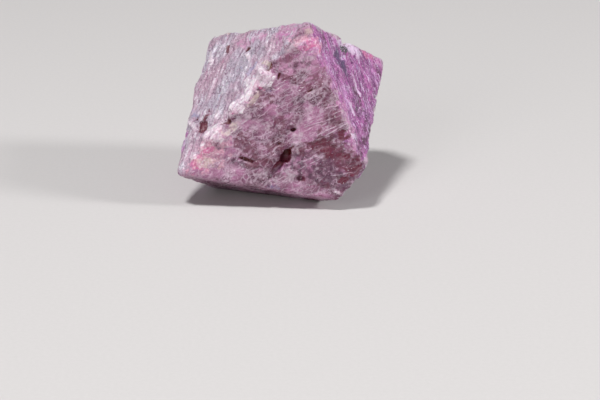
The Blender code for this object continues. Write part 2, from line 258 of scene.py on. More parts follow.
# %% One skin without crumbs
whole = bmesh.new()
whole.from_mesh(mesh)
waiting = [max(whole.verts, key=lambda point: point.co.z)]
joined = set(waiting)
while waiting:
    for edge in waiting.pop().link_edges:
        for point in edge.verts:
            if point not in joined:
                joined.add(point)
                waiting.append(point)
crumbs = [point for point in whole.verts if point not in joined]
bmesh.ops.delete(whole, geom=crumbs)
whole.to_mesh(mesh)
whole.free()
print(len(crumbs), "points of crumbs taken away,", len(mesh.vertices), "left")

# %% [markdown]
# A Displace modifier could raise the skin, but it knows nothing of the crystal's faces. So the points are
# handled as one array. One small tool evens a value out over neighbouring points, which takes away the
# flats of the coarse triangles. Another turns a straight ramp into a soft one.

# %% Points as arrays
points = np.empty(len(mesh.vertices) * 3)
mesh.vertices.foreach_get("co", points)
points = points.reshape(-1, 3)
edge_ends = np.empty(len(mesh.edges) * 2, int)
mesh.edges.foreach_get("vertices", edge_ends)
edge_ends = edge_ends.reshape(-1, 2)
neighbour_count = np.bincount(edge_ends.ravel(), minlength=len(points))


def evened(values, rounds, keep=None):
    """Values averaged with their neighbours, some rounds long. Where keep is 1, a point stays as it is."""
    share = 0.5 if keep is None else 0.5 * (1 - keep)[:, None]
    for _ in range(rounds):
        total = np.zeros_like(values)
        for axis in range(values.shape[1]):
            for near, far in ((0, 1), (1, 0)):
                total[:, axis] += np.bincount(
                    edge_ends[:, near], values[edge_ends[:, far], axis], minlength=len(values)
                )
        values = values + (total / neighbour_count[:, None] - values) * share
    return values


def smooth_step(values):
    """A ramp from 0 to 1 with a soft start and a soft end."""
    values = np.clip(values, 0, 1)
    return values * values * (3 - 2 * values)


print("points reach from", points.min(0).round(1), "to", points.max(0).round(1), "mm")

# %% [markdown]
# Noise is the sculptor here. A lattice of random slopes, blended between its corners, gives smooth random
# hills (Perlin's noise). Stretched one way it gives streaks, folded at zero it gives sharp crests, and cut
# into levels it gives terraces. The random numbers come from a fixed seed, so the crystal never changes.

# %% Noise
SEED = 11
LATTICE = 256  # corners before the lattice repeats
NOISE_GAIN = 1.6  # brings the hills to about -1 to 1
OCTAVE_SHIFT = 17  # keeps the finer noise from repeating the coarser
random = np.random.default_rng(SEED)
SHUFFLE = np.tile(random.permutation(LATTICE), 3)
SLOPES = random.normal(size=(LATTICE, 3))
SLOPES /= np.linalg.norm(SLOPES, axis=1)[:, None]


def random_slope(corner):
    """A random direction for each corner of the lattice, always the same one."""
    x, y, z = (corner % LATTICE).T
    return SLOPES[SHUFFLE[SHUFFLE[SHUFFLE[x] + y] + z]]


def noise(places):
    """Smooth random hills one unit wide, about -1 to 1."""
    cell = np.floor(places).astype(int)
    inside = places - cell
    fade = inside ** 3 * (inside * (inside * 6 - 15) + 10)
    total = np.zeros(len(places))
    for corner in itertools.product((0, 1), repeat=3):
        weight = np.prod(np.where(corner, fade, 1 - fade), axis=1)
        total += weight * np.einsum("ij,ij->i", random_slope(cell + corner), inside - corner)
    return total * NOISE_GAIN


def hills(places, octaves=3):
    """Noise with finer and lower noise on top."""
    return sum(noise(places * 2 ** i + OCTAVE_SHIFT * i) / 2 ** i for i in range(octaves))


print("noise of the first point:", noise(points[:1]).round(3))

# %% [markdown]
# Two more patterns are built from it: streaks along a line, and cells. Cells are the places that are
# nearest to one of many scattered middles (Voronoi's cells), and their borders will be the healed cracks.

# %% Streaks and cells
CELL_JITTER = 0.55  # how far a cell's middle strays from its place in the grid
TONE_STRIDE = 7.3  # so wide that neighbouring cells get tones of their own
BEND_SHIFT = 5  # keeps the bends from following the streaks' own noise
TOO_CLOSE = 1e-9  # a cell compared with itself


def streaks(placed, degrees, length, width, waver, home):
    """Places for noise that is stretched along a direction on a face, and strays from it now and then.

    Patterns with different homes have nothing in common.
    """
    along, beside = turned(placed, degrees)
    bend_places = np.column_stack((along / length, beside / length, placed[:, 2] / length))
    bend = noise(bend_places + home + BEND_SHIFT)
    beside = beside + waver * bend
    return np.column_stack((along / length, beside / width, placed[:, 2] / width)) + home


def cells(places):
    """Cells one unit wide: distance to the nearest border, the cell's middle and its random tone."""
    home_cell = np.floor(places).astype(int)
    steps = np.array(list(itertools.product((-1, 0, 1), repeat=3)))
    corners = [home_cell + step for step in steps]
    middles = np.array([corner + 0.5 + CELL_JITTER * random_slope(corner) for corner in corners])
    nearest = ((middles - places) ** 2).sum(2).argmin(0)
    middle = middles[nearest, np.arange(len(places))]
    border = np.full(len(places), np.inf)
    for other in middles:
        apart = other - middle
        distance = np.linalg.norm(apart, axis=1)
        to_border = (((other + middle) / 2 - places) * apart).sum(1) / np.maximum(distance, TOO_CLOSE)
        border = np.minimum(border, np.where(distance < TOO_CLOSE, np.inf, to_border))
    return border, middle, noise(middle * TONE_STRIDE) * 0.5 + 0.5


print("two patterns ready")

# %% [markdown]
# A point belongs to the face it lies on, and near an edge to both faces in part. Its depth below all the
# flat faces shows where the pits are. They keep their crisp rims while the rest of the skin is evened out.

# %% Which face, and how deep
CUTS = {  # the crystal's worn edge and cut corners: direction, and distance from the centre (mm)
    "worn_left_edge": ((0.661, -0.747, 0.077), 16.0),
    "left_corner": ((0.0, -1.0, 0.79), 16.65),
    "right_corner": ((-1.0, 0.0, 0.02), 17.75),
    "apex": ((0.1, 0.0, 1.0), 20.98),
    "near_left_corner": ((1.0, 0.03, -0.05), 21.20),
}
FACE_BLEND = 0.45  # mm, how far a face's relief reaches round an edge
PIT_FROM, PIT_TO = 0.40, 0.75  # mm below the faces: here a pit begins, and from here on it is all pit

depths = [-on_face(name, points)[:, 2] for name in FACES]
for direction, distance in CUTS.values():
    outward = np.array(REST_TURN @ Vector(direction).normalized())
    depths.append(distance - (points - np.array(CENTRE)) @ outward)
depths.append(points[:, 2])
depths = np.array(depths)
in_pit = smooth_step((depths.min(0) - PIT_FROM) / (PIT_TO - PIT_FROM))
face_depths = depths[:len(FACES)]
nearness = np.exp(-(face_depths - face_depths.min(0)) / FACE_BLEND)
belongs = dict(zip(FACES, nearness / nearness.sum(0)))
print("share of the skin in pits:", round(float(in_pit.mean()), 3))

# %% [markdown]
# Now the skin is evened. Pits hold still, and so does the break that the crystal stands on.

# %% Even the skin
EVEN_ROUNDS, RIM_ROUNDS, NORMAL_ROUNDS = 10, 2, 4  # for the skin, the pits' rims and the directions
RIM_HOLD, MOST_HOLD = 2.0, 0.92  # rims are held as pits are, and nothing is held altogether
FOOT_HEIGHT = 1.2  # mm above the break, where the skin is free to move again

near_floor = 1 - smooth_step(points[:, 2] / FOOT_HEIGHT)
pit_and_rim = evened(in_pit[:, None], RIM_ROUNDS)[:, 0] * RIM_HOLD
hold = np.clip(pit_and_rim + near_floor, 0, MOST_HOLD)
points = evened(points, EVEN_ROUNDS, hold)
mesh.vertices.foreach_set("co", points.ravel())
mesh.update()
normals = np.empty(points.size)
mesh.vertex_normals.foreach_get("vector", normals)
normals = evened(normals.reshape(-1, 3), NORMAL_ROUNDS)
normals /= np.linalg.norm(normals, axis=1)[:, None]
print("skin evened", EVEN_ROUNDS, "times")

# %% [markdown]
# ## Cracks and cells
#
# Healed cracks run all through the crystal and cut it into cells of 1 to 3 mm, a little longer one way.
# They are worked out once, in space, so that they carry on from face to face. Each point gets its distance
# to the nearest crack. A place that is pulled towards the middle of its cell also helps: a patch that is
# drawn with such places keeps to whole cells, as colour does in the real stone.

# %% Crack network
CELL_LENGTH, CELL_WIDTH, CELL_TURN = 2.9, 1.7, 38  # mm, mm, degrees on the front face
CELL_WAVER, CELL_HOME = 0.8, 3.0  # how far the cracks stray (mm)
CELL_BEND, BENDS_PER_CELL = 0.24, 2.3  # how ragged the cracks are
PULL = 0.75  # 0 leaves a patch's border where it was drawn, 1 moves it to the cracks

by_face = {name: on_face(name, points) for name in FACES}
cell_places = streaks(by_face["front"], CELL_TURN, CELL_LENGTH, CELL_WIDTH, CELL_WAVER, CELL_HOME)
bends = [noise(cell_places * BENDS_PER_CELL + shift) for shift in (3, 6, 9)]
cell_places += CELL_BEND * np.column_stack(bends)
border, middle, tone = cells(cell_places)
border *= CELL_WIDTH
to_middle = (middle - cell_places) * (CELL_LENGTH, CELL_WIDTH, CELL_WIDTH)
along_cells = np.array(Matrix.Rotation(math.radians(CELL_TURN), 3, "Z"))
to_middle = to_middle @ along_cells.T @ np.array(face_axes("front"))
pulled = {name: on_face(name, points + PULL * to_middle) for name in FACES}
print("largest cell is", round(float(border.max()) * 2, 1), "mm across")

# %% [markdown]
# ## Growth relief
#
# Spinel grows in thin layers that spread over a face. Where they stop, they leave low steps. On this
# crystal the kinds of face differ. The smoother ones are a mosaic of small blocks, divided by healed
# cracks. The rougher ones look like shingle: long wavy laths that overlap, all running one way. The right
# face is the finest, with fibres half a millimetre wide.
#
# A bump in the material could draw all this, but only real form changes the outline and throws shadows.
# Each relief is a function of the place on its face and returns a height in millimetres.

# %% Relief of each kind of face
LATHS, LATH_RIDGES = (4.2, 1.25, 1.1), (2.2, 0.50, 0.7)  # mm: length, width, and how far they stray
LATH_STEP, LATH_RIDGE_HEIGHT = 0.22, 0.17  # mm
TERRACES, RISER_STEEPNESS = 2.8, 5.0  # steps in a hill's height, and how steep the risers are
BLOCK_GRAIN = (1.3, 0.8, 0.4)  # mm: length, width, stray
BLOCK_STEP, BLOCK_GRAIN_HEIGHT, GROOVE = 0.22, 0.08, 0.25  # mm, the last is half a groove's width
BRAIDS, FIBRES = (4.5, 1.3, 1.2), (2.0, 0.46, 0.7)  # mm: length, width, stray
BRAID_HEIGHT, FIBRE_HEIGHT = 0.18, 0.11  # mm
FINE_SHIFT = 9  # keeps a relief's fine pattern from following its broad one


def lath_relief(placed, degrees, home):
    """Overlapping laths: stretched hills cut into terraces, with a fine ridge along each."""
    level = TERRACES * hills(streaks(placed, degrees, *LATHS, home), 2)
    fine = hills(streaks(placed, degrees, *LATH_RIDGES, home + FINE_SHIFT), 2)
    tread = np.floor(level)
    riser = smooth_step((level - tread - 0.5) * RISER_STEEPNESS + 0.5)
    return LATH_STEP * (tread + riser) + LATH_RIDGE_HEIGHT * (0.5 - np.abs(fine))


def block_relief(placed, degrees, home):
    """A mosaic of blocks that stand a little higher or lower, with a fine uneven grain."""
    blocks = tone * smooth_step(border / GROOVE)
    fine = hills(streaks(placed, degrees, *BLOCK_GRAIN, home + FINE_SHIFT), 3)
    return BLOCK_STEP * blocks + BLOCK_GRAIN_HEIGHT * fine


def fibre_relief(placed, degrees, home):
    """Braided fibres: sharp crests from folded noise."""
    broad = hills(streaks(placed, degrees, *BRAIDS, home), 2)
    fine = hills(streaks(placed, degrees, *FIBRES, home + FINE_SHIFT), 2)
    return BRAID_HEIGHT * (0.5 - np.abs(broad)) + FIBRE_HEIGHT * (0.5 - np.abs(fine))


LATH_RUN, FIBRE_RUN, BLOCK_RUN = -12, 52, 38  # degrees on the left, right and front face
KINDS = {  # the relief of each face, and the direction in which its layers run (degrees)
    "front": (block_relief, BLOCK_RUN),
    "left": (lath_relief, LATH_RUN),
    "right": (fibre_relief, FIBRE_RUN),
    "back": (lath_relief, 35),
    "under_front": (block_relief, 15),
    "under_left": (fibre_relief, -20),
    "under_right": (lath_relief, 30),
    "under_back": (block_relief, -30),
}
print(len(KINDS), "faces have a relief")

# %% [markdown]
# The reliefs are blended where faces meet, and calmed along the top edges and in the pits. What stands out
# from the skin around it is kept as a crest value, for the colours later on. The look of a face, which
# gives its colours, ends in a ragged line that strays from the edge by a millimetre.

# %% Raise the relief
FACE_SHIFT = 31.0  # keeps the patterns of two faces apart
CREST_HEIGHT, CREST_ROUNDS = 0.14, 12  # mm above the skin around it, and how far around is looked at
PIT_CALM, TOP_EDGE_CALM = 0.7, 0.6  # how much of the relief is taken away there
LOOK_STRAY, STRAY_SIZE, LOOK_BLEND = 1.0, 2.4, 0.40  # mm, how the looks of two faces mingle along an edge

relief = np.zeros(len(points))
for number, (name, (shape, degrees)) in enumerate(KINDS.items()):
    height = shape(by_face[name], degrees, FACE_SHIFT * number)
    relief += belongs[name] * (height - height.mean())
crest = np.clip((relief - evened(relief[:, None], CREST_ROUNDS)[:, 0]) / CREST_HEIGHT, -1, 1)
top_edges = 4 * belongs["back"] * (belongs["left"] + belongs["right"])
kept = (1 - near_floor) * (1 - PIT_CALM * in_pit) * (1 - TOP_EDGE_CALM * top_edges)
points += normals * (relief * kept)[:, None]

strays = [hills(points / STRAY_SIZE + 50 + 9 * number, 3) for number in range(len(FACES))]
look_depths = face_depths + LOOK_STRAY * np.array(strays)
looks = np.exp(-(look_depths - look_depths.min(0)) / LOOK_BLEND)
looks = dict(zip(FACES, looks / looks.sum(0)))
masks = {
    "laths": sum(looks[name] for name in FACES if KINDS[name][0] is lath_relief),
    "fibres": sum(looks[name] for name in FACES if KINDS[name][0] is fibre_relief),
}
print("relief from", relief.min().round(2), "to", relief.max().round(2), "mm")

# %% [markdown]
# ## Places with a colour of their own
#
# Some colour has a place: the wine-dark windows where the front face is clear enough to look into, the
# chalky knobs along the left edge, hot pink at the corners. Each is an oval on a face, given by its middle
# across and up, its length and width in millimetres, and its turn in degrees. Noise makes its border
# ragged, and it can follow the cracks too. An oval that stands on an edge runs on round it.

# %% Ovals on the faces
BAY_SIZE, BAY_DEPTH = 0.7, 0.42  # mm, size of a border's bays, and their depth against the oval
SOFTNESS = 1.1  # below 2, a mask fades further into its oval
REACH, PIT_REACH = 1.6, 5.0  # mm, how far off its face an oval still colours the skin, or a pit's floor
ragged = BAY_DEPTH * hills(points / BAY_SIZE, 3)


def add_ovals(name, ovals, places, reach=REACH):
    """Keeps a mask under a name: 1 well inside an oval, 0 outside it, and one half on its border."""
    mask = np.zeros(len(points))
    for face, rows in ovals.items():
        for across, up, length, width, degrees in rows:
            placed = places[face] - (across, up, 0)
            along, beside = turned(placed, degrees)
            far = np.hypot(np.hypot(2 * along / length, 2 * beside / width), placed[:, 2] / reach)
            mask = np.maximum(mask, smooth_step((1 - far + ragged) * SOFTNESS + 0.5))
    masks[name] = mask
    print(f"{name}: {mask.mean():.1%} of the skin")


# %% [markdown]
# ** Clear places.** Through a window the eye sees into wine-red depth. Smoky cells are half as clear. Painted
# shade lies around both as a dark tint, and on parts of the right face and over one underside face.

# %% Windows
WINDOWS = {
    "front": (
        (4.8, -1.1, 4.4, 1.7, 22), (6.4, -1.5, 3.0, 1.3, 15), (8.0, -2.3, 3.6, 1.6, 8),
        (8.4, 1.1, 3.0, 1.8, 40), (10.4, -3.8, 2.8, 2.4, 60), (2.9, -6.8, 1.4, 1.0, 10),
        (9.2, -5.9, 2.0, 1.2, 15),
    ),
    "under_front": ((2.0, 0.0, 5.0, 3.0, 20), (-5.0, -3.0, 4.0, 2.4, 40)),
    "under_back": ((4.0, 2.0, 5.0, 3.0, -30), (-6.0, -2.0, 4.0, 3.0, 10)),
}
SMOKY = {
    "front": (
        (5.6, -1.0, 8.0, 3.4, 22), (8.6, -2.8, 6.4, 3.8, 10), (3.4, 8.4, 4.6, 3.2, 45),
        (5.6, 6.2, 3.0, 1.6, 40), (6.8, 3.3, 2.6, 1.6, 20), (2.3, -2.3, 2.4, 1.8, 50),
        (1.0, 6.8, 2.2, 1.6, 60), (-1.7, -2.3, 2.4, 1.6, 30), (-6.2, -2.9, 4.4, 3.0, -20),
        (-2.2, -6.8, 2.4, 1.8, 40), (-8.6, -7.4, 1.6, 1.8, 0), (-1.0, 8.6, 2.4, 1.4, 10),
        (-4.0, 4.4, 3.0, 2.2, 30), (-1.6, 11.8, 2.6, 1.4, 40), (-1.2, 1.4, 2.4, 1.8, 70),
        (7.4, -7.6, 4.0, 1.6, -4), (5.2, 1.6, 2.6, 1.6, 30), (-3.6, -5.2, 2.4, 2.0, 20),
        (-6.6, 3.6, 1.8, 1.4, 50),
    ),
}
# Painted shade: a dark tint that stands in for the shade on these parts of the faces.
PAINTED_SHADE = {
    "front": (
        (6.4, -1.4, 7.0, 4.4, 25), (8.0, -4.4, 9.0, 6.0, 10), (5.6, -1.6, 6.0, 3.4, 20),
        (1.8, -4.4, 5.0, 4.0, 40), (-1.1, -5.6, 3.6, 1.5, 54), (-2.2, -6.8, 2.2, 1.7, 40),
        (-6.9, -5.9, 2.8, 1.3, -10), (0.8, 5.3, 2.2, 1.4, 30),
    ),
    "right": (
        (-5.0, -2.6, 8.0, 2.2, 0), (-1.0, 1.0, 5.0, 1.8, 58), (0.8, 11.7, 3.0, 1.2, 60),
        (-9.3, -1.8, 3.0, 2.2, 60), (8.4, -2.9, 3.0, 1.6, 60), (-3.4, 0.5, 2.2, 1.2, 55),
    ),
    "under_left": ((0.0, 0.0, 12.0, 5.0, 0),),
}
add_ovals("windows", WINDOWS, by_face)
add_ovals("smoky", SMOKY, pulled)
add_ovals("painted_shade", PAINTED_SHADE, by_face)

# %% [markdown]
# ** Pale places.** Dull crust on the front face, pale lilac on the right one that is partly a painted sheen,
# chalky knobs along the worn left edge, and a little cream where the marble has left its trace.

# %% Crust, glaze and knobs
PALE = {
    "front": (
        (1.4, 12.6, 3.6, 1.8, 40), (1.3, -1.2, 1.3, 3.4, 10), (8.4, 3.2, 4.0, 1.4, -60),
        (6.6, 7.4, 2.0, 1.0, -60), (1.3, -0.4, 1.4, 2.2, -20), (1.0, -6.6, 2.4, 1.8, 62),
        (5.9, 6.8, 2.2, 1.4, 60), (9.9, 1.2, 1.6, 1.2, 20), (-7.6, 0.6, 5.4, 1.6, 52),
        (-9.6, -2.0, 3.6, 1.8, 40), (-1.4, 13.0, 3.4, 1.2, 35), (2.2, 6.3, 3.6, 1.0, 40),
        (-1.8, -8.3, 1.2, 0.9, 0), (-3.0, -6.9, 2.4, 1.8, 30), (-3.4, 0.6, 1.8, 1.4, 20),
    ),
    "under_front": ((-2.0, -1.0, 3.0, 2.0, 30),),
    "under_back": ((0.0, -3.0, 4.0, 2.0, -20),),
}
# Pale lilac, and a painted sheen: lighter streaks where the right face and its edge with the front catch the
# light.
LILAC_AND_SHEEN = {
    "right": (
        (6.6, 4.3, 5.4, 2.6, -60), (4.6, 7.0, 4.0, 1.6, -60), (-4.6, 2.2, 2.4, 1.0, 60),
        (1.0, 2.0, 4.0, 1.2, 55),
    ),
    "front": ((10.4, 0.9, 2.2, 1.6, -60), (8.0, 5.9, 2.6, 0.9, -62)),
}
KNOBS = {
    "left": (
        (6.2, 8.4, 5.0, 3.4, 35), (8.4, 2.3, 3.4, 1.8, 50), (6.3, -2.8, 3.0, 1.3, 30),
        (5.0, -8.7, 2.8, 0.9, 38), (11.6, -2.0, 4.2, 1.4, 45), (3.0, 7.0, 3.0, 1.2, 40),
        (-9.0, -7.6, 4.4, 1.2, 25), (-2.6, 2.9, 3.0, 0.6, 12), (4.6, 4.5, 3.0, 1.2, 25),
        (12.6, -7.0, 3.0, 1.2, 50), (8.8, -4.0, 2.2, 1.0, 30), (6.6, 4.6, 12.0, 2.0, -60),
        (10.4, -2.0, 7.0, 1.4, -60),
    ),
    "right": ((-2.4, 0.0, 0.7, 0.4, -40),),
    "front": ((8.7, -7.9, 1.4, 0.5, -15),),
    "back": ((3.0, 2.0, 4.0, 2.0, 35), (-6.0, -4.0, 5.0, 1.6, 35)),
    "under_right": ((5.0, -2.0, 5.0, 1.8, 30),),
}
CREAM = {
    "front": ((-12.2, -6.7, 4.0, 2.0, 0), (-8.8, -0.8, 4.6, 1.1, 45), (-6.0, 4.4, 4.0, 0.8, 58)),
    "left": (
        (8.5, 7.9, 2.2, 1.4, 60), (-13.2, -4.6, 6.0, 1.4, 60), (-8.6, 3.2, 6.0, 1.0, 60),
        (2.9, 8.4, 2.2, 1.0, 60),
    ),
    "right": ((-0.6, 15.8, 1.8, 0.9, -40),),
    "back": ((-2.0, 7.0, 5.0, 1.2, 60),),
}
add_ovals("pale", PALE, by_face)
add_ovals("lilac_and_sheen", LILAC_AND_SHEEN, by_face)
add_ovals("knobs", KNOBS, by_face)
add_ovals("cream", CREAM, by_face)

# %% [markdown]
# ** Pinks.** The corners are the youngest growth and took up the most chromium, which makes spinel pink. The
# rosy layer is partly painted light too: it lightens the upper front, the apex and the ridges beside them.

# %% Pinks
# Rose pink, and painted light: a lighter, pinker tint where light from above falls on the faces.
ROSY_AND_LIT = {
    "left": (
        (7.6, 5.4, 4.4, 1.8, -60), (-5.0, 5.0, 5.0, 2.6, 50), (-1.5, 12.5, 7.0, 4.0, 60),
        (-6.4, 1.4, 7.0, 2.4, 50),
    ),
    "front": (
        (7.8, 7.0, 7.0, 1.6, -60), (1.0, 13.4, 7.0, 5.0, -60), (0.6, 15.4, 3.4, 2.0, -60),
        (9.4, 1.6, 9.0, 2.6, -60), (2.6, 11.4, 7.0, 4.4, -60), (-2.0, 10.2, 4.0, 2.4, 20),
        (9.6, 2.6, 6.0, 2.6, -62), (6.4, 8.0, 3.6, 1.6, -60),
    ),
    "right": ((-7.0, 6.0, 6.0, 2.0, -60),),
}
SALMON = {
    "front": (
        (-12.4, -6.2, 6.4, 3.6, 25), (1.4, 14.8, 3.0, 1.0, -60), (-10.2, -4.2, 4.0, 1.8, 50),
        (-6.6, 4.4, 4.0, 1.4, 60), (-0.6, 14.6, 3.4, 1.6, 30),
    ),
    "left": ((12.4, -4.4, 6.0, 3.0, -60),),
    "right": ((-1.2, 13.8, 4.4, 2.0, -60),),
}
MAGENTA = {
    "front": (
        (10.2, 0.6, 6.0, 2.2, -62), (8.6, 4.0, 5.6, 1.6, -62), (11.8, -2.0, 3.6, 1.6, -66),
        (1.6, 13.4, 5.0, 2.0, -60),
    ),
    "left": ((-0.8, 12.6, 5.0, 2.6, 56),),
    "right": ((10.6, -2.4, 5.0, 3.0, -70),),
}
HOT = {
    "front": (
        (2.2, 14.0, 3.0, 0.5, -60), (0.9, 14.6, 1.2, 0.8, 20), (-6.3, 6.5, 2.4, 1.0, 62),
        (-13.4, -7.2, 3.8, 1.5, -12), (-11.6, -4.6, 2.2, 1.0, 30), (0.4, 13.3, 2.4, 0.9, 20),
        (-8.6, 1.9, 1.2, 0.9, 30), (11.2, 3.2, 2.6, 1.4, -60),
    ),
    "left": ((6.9, 7.0, 3.0, 1.0, 20), (14.0, -6.0, 3.6, 2.6, 50), (-6.0, -3.9, 1.0, 0.6, 30)),
    "right": ((9.4, 0.2, 3.6, 1.8, -62), (-1.8, 14.6, 2.4, 1.6, -30)),
    "back": ((9.0, -5.0, 3.6, 2.0, 30),),
    "under_left": ((6.0, 1.0, 3.0, 2.0, -20),),
}
add_ovals("rosy_and_lit", ROSY_AND_LIT, pulled)
add_ovals("salmon", SALMON, pulled)
add_ovals("magenta", MAGENTA, pulled)
add_ovals("hot", HOT, by_face)

# %% [markdown]
# ** Specks and pits.** A bluish haze, grey streaks below the notch, the dark mineral grain that sits in it,
# the rust of the pits, and painted shade in dark wine in the hollows and between the laths.

# %% Specks and pits
BLUE = {
    "left": (
        (1.6, 5.0, 3.2, 1.0, -35), (0.2, 1.0, 3.0, 1.0, -30), (2.6, -8.8, 2.4, 1.2, 0),
        (2.0, -2.6, 3.0, 0.8, -30),
    ),
    "front": ((-1.0, -8.7, 2.4, 0.8, 0), (-4.1, 5.9, 0.9, 0.5, 20)),
    "right": ((4.2, 2.6, 2.4, 0.8, 60),),
    "back": ((2.0, -4.0, 6.0, 2.4, 30),),
}
GREY = {
    "right": ((1.3, 7.0, 4.6, 2.3, 62), (0.7, 5.8, 2.2, 0.7, 60), (0.2, 8.2, 1.8, 0.6, 60)),
}
GRAIN = {
    "right": ((3.9, 6.9, 1.7, 1.3, -60), (4.5, 5.9, 1.3, 0.9, -70)),
}
# Painted shade: dark wine in the hollows and grooves, where little light gets in.
SHADED_RECESS = {
    "front": (
        (0.0, -3.5, 3.0, 0.9, 64), (0.2, -4.1, 1.5, 0.9, 15), (-0.7, -4.9, 2.6, 0.9, 60),
        (-5.85, -5.25, 2.6, 0.6, -8),
    ),
    "left": (
        (5.8, -6.0, 3.6, 2.2, -27), (9.4, -0.2, 1.9, 0.9, -80), (3.6, 9.3, 2.4, 1.0, -11),
        (-4.9, 2.2, 2.4, 1.2, -17), (-8.6, -3.5, 1.8, 0.8, -15), (3.0, -7.6, 3.0, 0.6, -40),
        (4.9, -5.5, 3.0, 0.8, -5),
    ),
}
DEEP = {
    "front": (
        (0.1, -3.2, 1.5, 0.8, 62), (-1.3, -1.9, 0.6, 0.4, 40), (0.5, 0.55, 0.8, 0.4, 20),
        (-2.9, 8.3, 1.4, 0.3, 85), (2.1, 6.9, 0.9, 0.3, 35), (-5.9, -5.2, 2.2, 0.4, -8),
        (4.35, 2.1, 0.4, 0.25, 10),
    ),
    "left": (
        (4.6, -5.5, 2.2, 0.7, -27), (-5.1, 1.9, 1.5, 0.9, -17), (9.3, 0.1, 1.0, 0.4, -80),
        (1.0, -3.3, 1.1, 0.5, 15), (-1.9, 4.9, 0.8, 0.4, 10), (3.3, 9.2, 1.4, 0.7, -11),
    ),
}
add_ovals("blue", BLUE, by_face)
add_ovals("grey", GREY, by_face)
add_ovals("grain", GRAIN, by_face)
add_ovals("shaded_recess", SHADED_RECESS, by_face, PIT_REACH)
add_ovals("deep", DEEP, by_face, PIT_REACH)

# %% [markdown]
# Last touches to the form: windows lie a hair lower than the sugary crust around them, pale knobs stand
# proud, pits go deeper, and everything has the fine grain of a natural, unpolished face. Then every mask
# goes onto the skin as an attribute, which the material can read.

# %% Finish the form
LIFTS = {"knobs": 0.14, "pale": 0.05, "windows": -0.13, "deep": -0.22, "shaded_recess": -0.35}  # mm
GRAIN_SIZE, GRAIN_HEIGHT = 0.45, 0.03  # mm, on every face
SPECK_SIZE, SPECK_HEIGHT = 0.5, 0.12  # mm, on the dark mineral grain

lift = sum(height * masks[name] for name, height in LIFTS.items())
lift += GRAIN_HEIGHT * hills(points / GRAIN_SIZE + 80, 2)
lift += SPECK_HEIGHT * masks["grain"] * noise(points / SPECK_SIZE + 8)
points += normals * (lift * (1 - near_floor))[:, None]
points[:, 2] = np.maximum(points[:, 2], 0)
mesh.vertices.foreach_set("co", (points * MM).ravel())
masks.update({"crest": crest * 0.5 + 0.5, "border": border, "tone": tone})
for name, values in masks.items():
    mesh.attributes.new(name, "FLOAT", "POINT").data.foreach_set("value", values.astype(np.float32))
mesh.update()
mesh.shade_smooth()
print(len(masks), "masks on the skin")

# %% [markdown]
# ## The finish
#
# Spinel is a glassy oxide with a high refractive index, 1.72, but this crystal is cloudy: light goes in a
# millimetre or two and comes back out pink. So the shader has a soft subsurface share, a moderate
# roughness from the unpolished face, and colour in layers, as a painter of stones would build it.
#
# The patterns are made in millimetres: object coordinates times a thousand. Most of them start as patches
# of noise, taken from one strength to another between two levels of the noise. The finest grain of spinel
# is under a tenth of a millimetre and would not show, so it is drawn at a quarter to a third of one.

# %% Start the material
spinel, tree = new_material("cloudy rose spinel, rough natural face")
place = add("VectorMath SCALE", add("TexCoord", output="Object"), 1 / MM)
skin = {name: add("Attribute", output="Fac", attribute_name=name) for name in masks}


def patches(size, low, high, weakest=0.0, strongest=1.0, detail=2.0):
    """Random patches some millimetres wide, from weakest to strongest."""
    return add("MapRange", add("TexNoise", place, 1 / size, detail), low, high, weakest, strongest)


def wavered(size, distance):
    """Places in millimetres that stray by a distance, over a size."""
    stray = add("VectorMath SUBTRACT", add("TexNoise", place, 1 / size, output="Color"), (0.5, 0.5, 0.5))
    return add("VectorMath MULTIPLY_ADD", stray, [2 * distance] * 3, place)


def stretched(where, face, degrees, length, width):
    """Places on a face in units of a streak's length and width."""
    turn = Matrix.Rotation(math.radians(-degrees), 3, "Z") @ face_axes(face)
    flat = add("Mapping", where, (0, 0, 0), turn.to_euler())
    return add("VectorMath MULTIPLY", flat, (1 / length, 1 / width, 1 / width))


def threads(noise_value, width, strength):
    """Thin lines where a noise passes through its middle value."""
    from_middle = add("Math ABSOLUTE", add("Math SUBTRACT", noise_value, 0.5))
    return add("MapRange", from_middle, 0.0, width, strength, 0.0)


print(len(skin), "attributes read")

# %% [markdown]
# **Veins of the block faces.** The border of each cell is a whitish vein. Finer nets of hair cracks come
# from Voronoi cells and from thin lines in noise, with their places bent so that no crack is straight. A
# fan of long parallel cracks crosses the right half of the front face.

# %% Nets of cracks
HAIR_LENGTH, HAIR_WIDTH = 1.65, 1.1  # mm, the meshes of the net of hair cracks
WEB, FINE_WEB = 1.6, 0.7  # mm, the meshes of the webs
FAN_LENGTH, FAN_SPACING, FAN_TURN = 6.0, 1.1, 36  # mm, mm, degrees on the front face

frayed = add("Math ADD", skin["border"], patches(0.35, 0.3, 0.7, -0.08, 0.08, 3.0))
vein = add("MapRange", frayed, 0.02, 0.15, 0.6, 0.0)
vein = add("Math MULTIPLY", vein, patches(1.5, 0.36, 0.60, 0.2, 1.0))
hair_places = stretched(wavered(1.1, 0.4), "front", BLOCK_RUN, HAIR_LENGTH, HAIR_WIDTH)
hairs = add("TexVoronoi", hair_places, 1.0, feature="DISTANCE_TO_EDGE")
hairs = add("Math MULTIPLY", add("MapRange", hairs, 0.0, 0.10, 0.5, 0.0), patches(2.2, 0.40, 0.60))
web = threads(add("TexNoise", wavered(WEB, 0.48), 1 / WEB, 3.0), 0.018, 1.0)
web = add("Math MULTIPLY", web, patches(2.8, 0.44, 0.60, 0.05, 0.60))
fine_web = threads(add("TexNoise", wavered(FINE_WEB, 0.21), 1 / FINE_WEB, 3.0), 0.026, 1.0)
fine_web = add("Math MULTIPLY", fine_web, patches(3.1, 0.50, 0.62, 0.0, 0.50))
webs = add("Math MAXIMUM", hairs, add("Math MAXIMUM", web, fine_web))
dark_here = add("Math MAXIMUM", skin["windows"], skin["painted_shade"])
